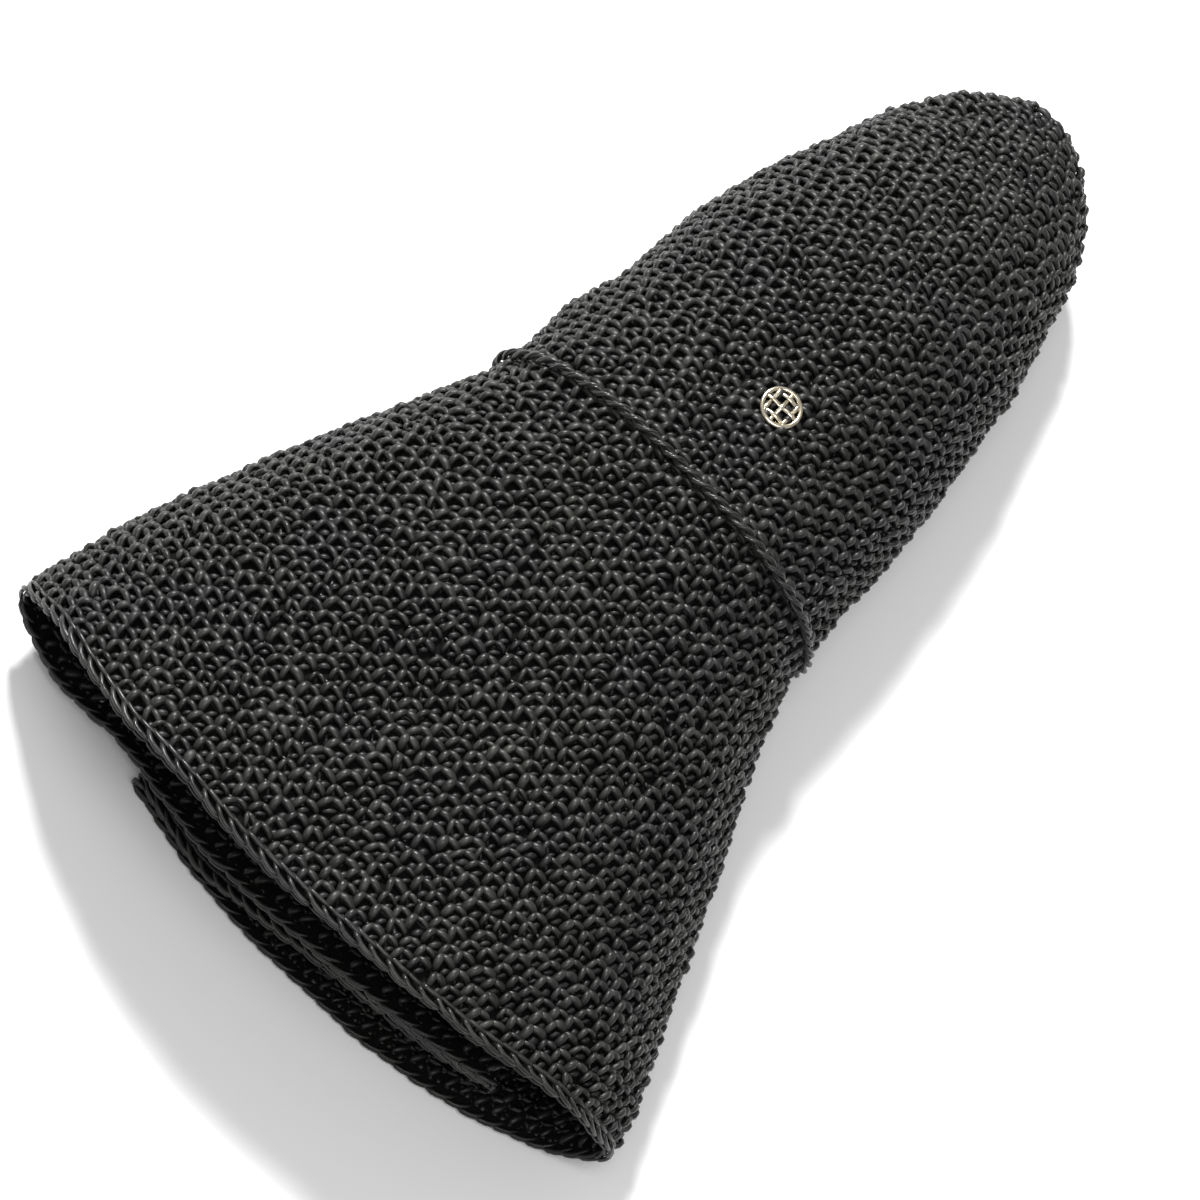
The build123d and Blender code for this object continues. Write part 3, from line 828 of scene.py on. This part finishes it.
def metal(name, colour, tarnish, roughness):
    """Plated metal with faint tarnish and fine polishing marks."""
    material = bpy.data.materials.new(name)
    material.use_nodes = True
    tree = material.node_tree
    shader = tree.nodes["Principled BSDF"]
    where = node(tree, "ShaderNodeTexCoord").outputs["Object"]
    cloud = node(tree, "ShaderNodeTexNoise", {"Vector": where, "Scale": 420.0, "Detail": 5.0})
    marks = node(tree, "ShaderNodeTexNoise", {"Vector": where, "Scale": 5200.0, "Detail": 2.0})
    plating = ramp(tree, cloud.outputs["Fac"], [(0.35, tarnish), (0.6, colour)])
    tree.links.new(plating, shader.inputs["Base Color"])
    rough = node(
        tree, "ShaderNodeMapRange",
        {"Value": cloud.outputs["Fac"], "To Min": roughness + 0.12, "To Max": roughness - 0.04},
    )
    tree.links.new(rough.outputs["Result"], shader.inputs["Roughness"])
    relief = node(
        tree, "ShaderNodeBump",
        {"Strength": 0.08, "Distance": 0.00005, "Height": marks.outputs["Fac"]},
    )
    tree.links.new(relief.outputs["Normal"], shader.inputs["Normal"])
    shader.inputs["Metallic"].default_value = 1.0
    return material


thread = ribbed_cloth("waxed_thread", (0.008, 0.008, 0.008), (0.03, 0.03, 0.03), 3.0, 0.35)
grosgrain = ribbed_cloth("grosgrain", (0.006, 0.006, 0.007), (0.028, 0.028, 0.031), 0.42, 0.55)
satin = ribbed_cloth("satin_tab", (0.018, 0.018, 0.02), (0.04, 0.04, 0.043), 1.4, 0.32)
pale_gold = metal("pale_gold", (0.86, 0.79, 0.64), (0.55, 0.47, 0.33), 0.16)
plate_steel = metal("plate_steel", (0.62, 0.62, 0.62), (0.42, 0.42, 0.41), 0.3)

whipping = thread_whipping()
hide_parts("cord_whipping")
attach(whipping, "root")


def sweatband_ribbon():
    """A flat ribbed ribbon inside the crown, just past the band line."""
    y = np.linspace(NECK_Y + RIBBON_EDGES[0], NECK_Y + RIBBON_EDGES[1], RIBBON_LINES)
    grid = section_lines(y, RIBBON_OFF)[:, ::2]
    rows, columns = grid.shape[:2]
    quads = grid_round(rows, columns)[2].reshape(-1, 4)
    rib = np.arange(columns)[None] * RIB_MAP_STEP
    uv = np.stack(np.broadcast_arrays(rib, y[:, None]), axis=-1).reshape(-1, 2)
    piece = make_mesh("sweatband_ribbon", grid.reshape(-1, 3), [quads], grosgrain, [uv[quads]])
    thick = piece.modifiers.new("thick", "SOLIDIFY")
    thick.thickness, thick.offset = RIBBON_THICK * MM, 0.0
    return piece, float(lengths_along(grid)[RIBBON_LINES // 2, -1])


sweatband, sweatband_length = sweatband_ribbon()
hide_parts("sweatband")
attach(sweatband, "root")


def ribbon_stitching():
    """Small running stitches that hold both edges of the ribbon."""
    lines = []
    for y in STITCH_LINES:
        loop = closed_line(section_lines([NECK_Y + y], RIBBON_OFF + THREAD_OFF)[0], LOOP_POINTS)
        for start in range(0, LOOP_POINTS, STITCH_EVERY):
            lines.append(loop[np.arange(start, start + STITCH_POINTS) % LOOP_POINTS])
    lines = np.array(lines)
    upward = np.tile(UP, lines.shape[:2] + (1,))
    return strands("sweatband_stitching", lines, upward, 0.22, 0.16, 0.5, thread, 5)


stitching = ribbon_stitching()
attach(stitching, "root")


def blank_tab():
    """A bare woven tab: a thin slab, fuller in its middle, with rounded edges."""
    low, high = (np.array(c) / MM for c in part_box("blank_label"))
    long, wide = TAB_POINTS
    u, v = np.meshgrid(np.linspace(0, 1, long), np.linspace(0, 1, wide), indexing="ij")
    edge = np.minimum.reduce([u, 1 - u, v, 1 - v])
    half = TAB_CROWN * np.clip(edge / TAB_EDGE, 0, 1) ** 0.5
    x = low[0] + u * (high[0] - low[0])
    y = low[1] + v * (high[1] - low[1]) + 0.18 * np.sin(TURN * u * 1.5) * (v - 0.5)
    z = (low[2] + high[2]) / 2
    top = np.stack([x, y, z + half + TAB_HALF_THICK], -1).reshape(-1, 3)
    under = np.stack([x, y, z - half - TAB_HALF_THICK], -1).reshape(-1, 3)
    index = np.arange(long * wide).reshape(long, wide)
    quads = np.stack([index[:-1, :-1], index[1:, :-1], index[1:, 1:], index[:-1, 1:]], -1)
    quads = quads.reshape(-1, 4)
    ring = np.concatenate([index[:, 0], index[-1, 1:], index[-2::-1, -1], index[0, -2:0:-1]])
    after = np.roll(ring, -1)
    below = long * wide
    rim = np.stack([ring, ring + below, after + below, after], -1)
    faces = np.concatenate([quads, quads[:, ::-1] + below, rim])
    uv = np.stack([u * TAB_LENGTH / MM, v * TAB_WIDTH / MM], -1).reshape(-1, 2)
    uv = np.tile(uv, (2, 1))
    return make_mesh("blank_label_tab", np.concatenate([top, under]), [faces], satin, [uv[faces]])


label = blank_tab()
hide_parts("blank_label")
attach(label, "root")


def openwork_badge():
    """A round pale metal badge: a rounded ring with a plain woven lattice across it."""
    low, high = (np.array(c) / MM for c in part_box("badge_face"))
    centre = (low + high) / 2
    radius = (high[0] - low[0]) / 2
    angle = TURN * (np.arange(RING_POINTS) / RING_POINTS)
    ring_radius = radius - RING_HALF_WIDTH
    ring_line = np.stack([
        centre[0] + ring_radius * np.cos(angle), centre[1] + ring_radius * np.sin(angle),
        np.full(RING_POINTS, low[2] + 0.8),
    ], -1)
    ring = strands(
        "badge_ring", ring_line[None], np.tile(UP, (1, RING_POINTS, 1)), RING_HALF_WIDTH,
        RING_HALF_DEPTH, 0.5, pale_gold, 16, closed=True,
    )
    lines = []
    for way in (0, 1):
        for k, offset in enumerate((-LATTICE_PITCH, 0.0, LATTICE_PITCH)):
            reach = math.sqrt((radius - 1.0) ** 2 - offset**2)
            s = np.linspace(-reach, reach, LATTICE_POINTS)
            dome = LATTICE_DOME * (1 - (s**2 + offset**2) / radius**2)
            weave = LATTICE_WEAVE * np.cos(math.pi * (s / LATTICE_PITCH + k + way))
            z = np.minimum(low[2] + 0.55 + dome + weave, high[2] + 0.3)
            level = np.full(LATTICE_POINTS, offset)
            x, y = (s, level) if way == 0 else (level, s)
            lines.append(np.stack([centre[0] + x, centre[1] + y, z], -1))
    lines = np.array(lines)
    upward = np.tile(UP, lines.shape[:2] + (1,))
    return ring, strands("badge_lattice", lines, upward, 0.72, 0.42, 0.5, pale_gold, 12)


badge_ring, badge_bars = openwork_badge()
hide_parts("badge_face")
for piece in (badge_ring, badge_bars):
    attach(piece, "root")
for name, finish in (("badge_posts", pale_gold), ("badge_backplate", plate_steel)):
    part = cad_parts[name]
    part.data.materials.clear()
    part.data.materials.append(finish)

# ---- floor, light and camera --------------------------------------------------------------
scene = bpy.context.scene
FLOOR_REACH, FLOOR_Z = 6, -0.0006       # the lowest strands press a little below zero
floor_mesh = bpy.data.meshes.new("floor")
floor_mesh.from_pydata([
    (FLOOR_REACH * x, FLOOR_REACH * y, FLOOR_Z) for x, y in ((-1, -1), (1, -1), (1, 1), (-1, 1))
], [], [(0, 1, 2, 3)])
floor = bpy.data.objects.new("floor", floor_mesh)
floor_mesh.materials.append(plain_material("pale_floor", (0.86, 0.86, 0.86), 0.9))
scene.collection.objects.link(floor)

world = bpy.data.worlds.new("studio")
scene.world = world
world.use_nodes = True
world.node_tree.nodes["Background"].inputs["Color"].default_value = (1, 1, 1, 1)
world.node_tree.nodes["Background"].inputs["Strength"].default_value = 0.42


def softbox(name, place, size, power, aim=(0.0, 0.0, 0.03)):
    """A square lamp turned to its aim."""
    lamp = bpy.data.lights.new(name, "AREA")
    lamp.shape, lamp.size, lamp.energy = "SQUARE", size, power
    made = bpy.data.objects.new(name, lamp)
    made.location = place
    made.rotation_mode = "QUATERNION"
    made.rotation_quaternion = (Vector(aim) - Vector(place)).to_track_quat("-Z", "Y")
    scene.collection.objects.link(made)


softbox("key", (-1.2, 1.0, 1.7), 0.34, 95)
softbox("top", (0.3, -0.6, 2.2), 1.2, 22)

camera_data = bpy.data.cameras.new("camera")
camera = bpy.data.objects.new("camera", camera_data)
scene.collection.objects.link(camera)
scene.camera = camera
TILT, ROLL = math.radians(25), math.radians(43.3)
TARGET, DISTANCE, VIEW_WIDTH = Vector((0.0063, -0.0362, 0.028)), 2.5, 0.396
SENSOR = 36
back = Vector((0, -math.sin(TILT), math.cos(TILT)))
level_up = Vector((0, math.cos(TILT), math.sin(TILT)))
level_right = Vector((1, 0, 0))
right = math.cos(ROLL) * level_right + math.sin(ROLL) * level_up
up = -math.sin(ROLL) * level_right + math.cos(ROLL) * level_up
camera_data.sensor_width = SENSOR
camera_data.lens = SENSOR * DISTANCE / VIEW_WIDTH
turn = Matrix((right, up, back)).transposed()
camera.matrix_world = Matrix.Translation(TARGET + DISTANCE * back) @ turn.to_4x4()
scene.view_settings.view_transform = "Standard"
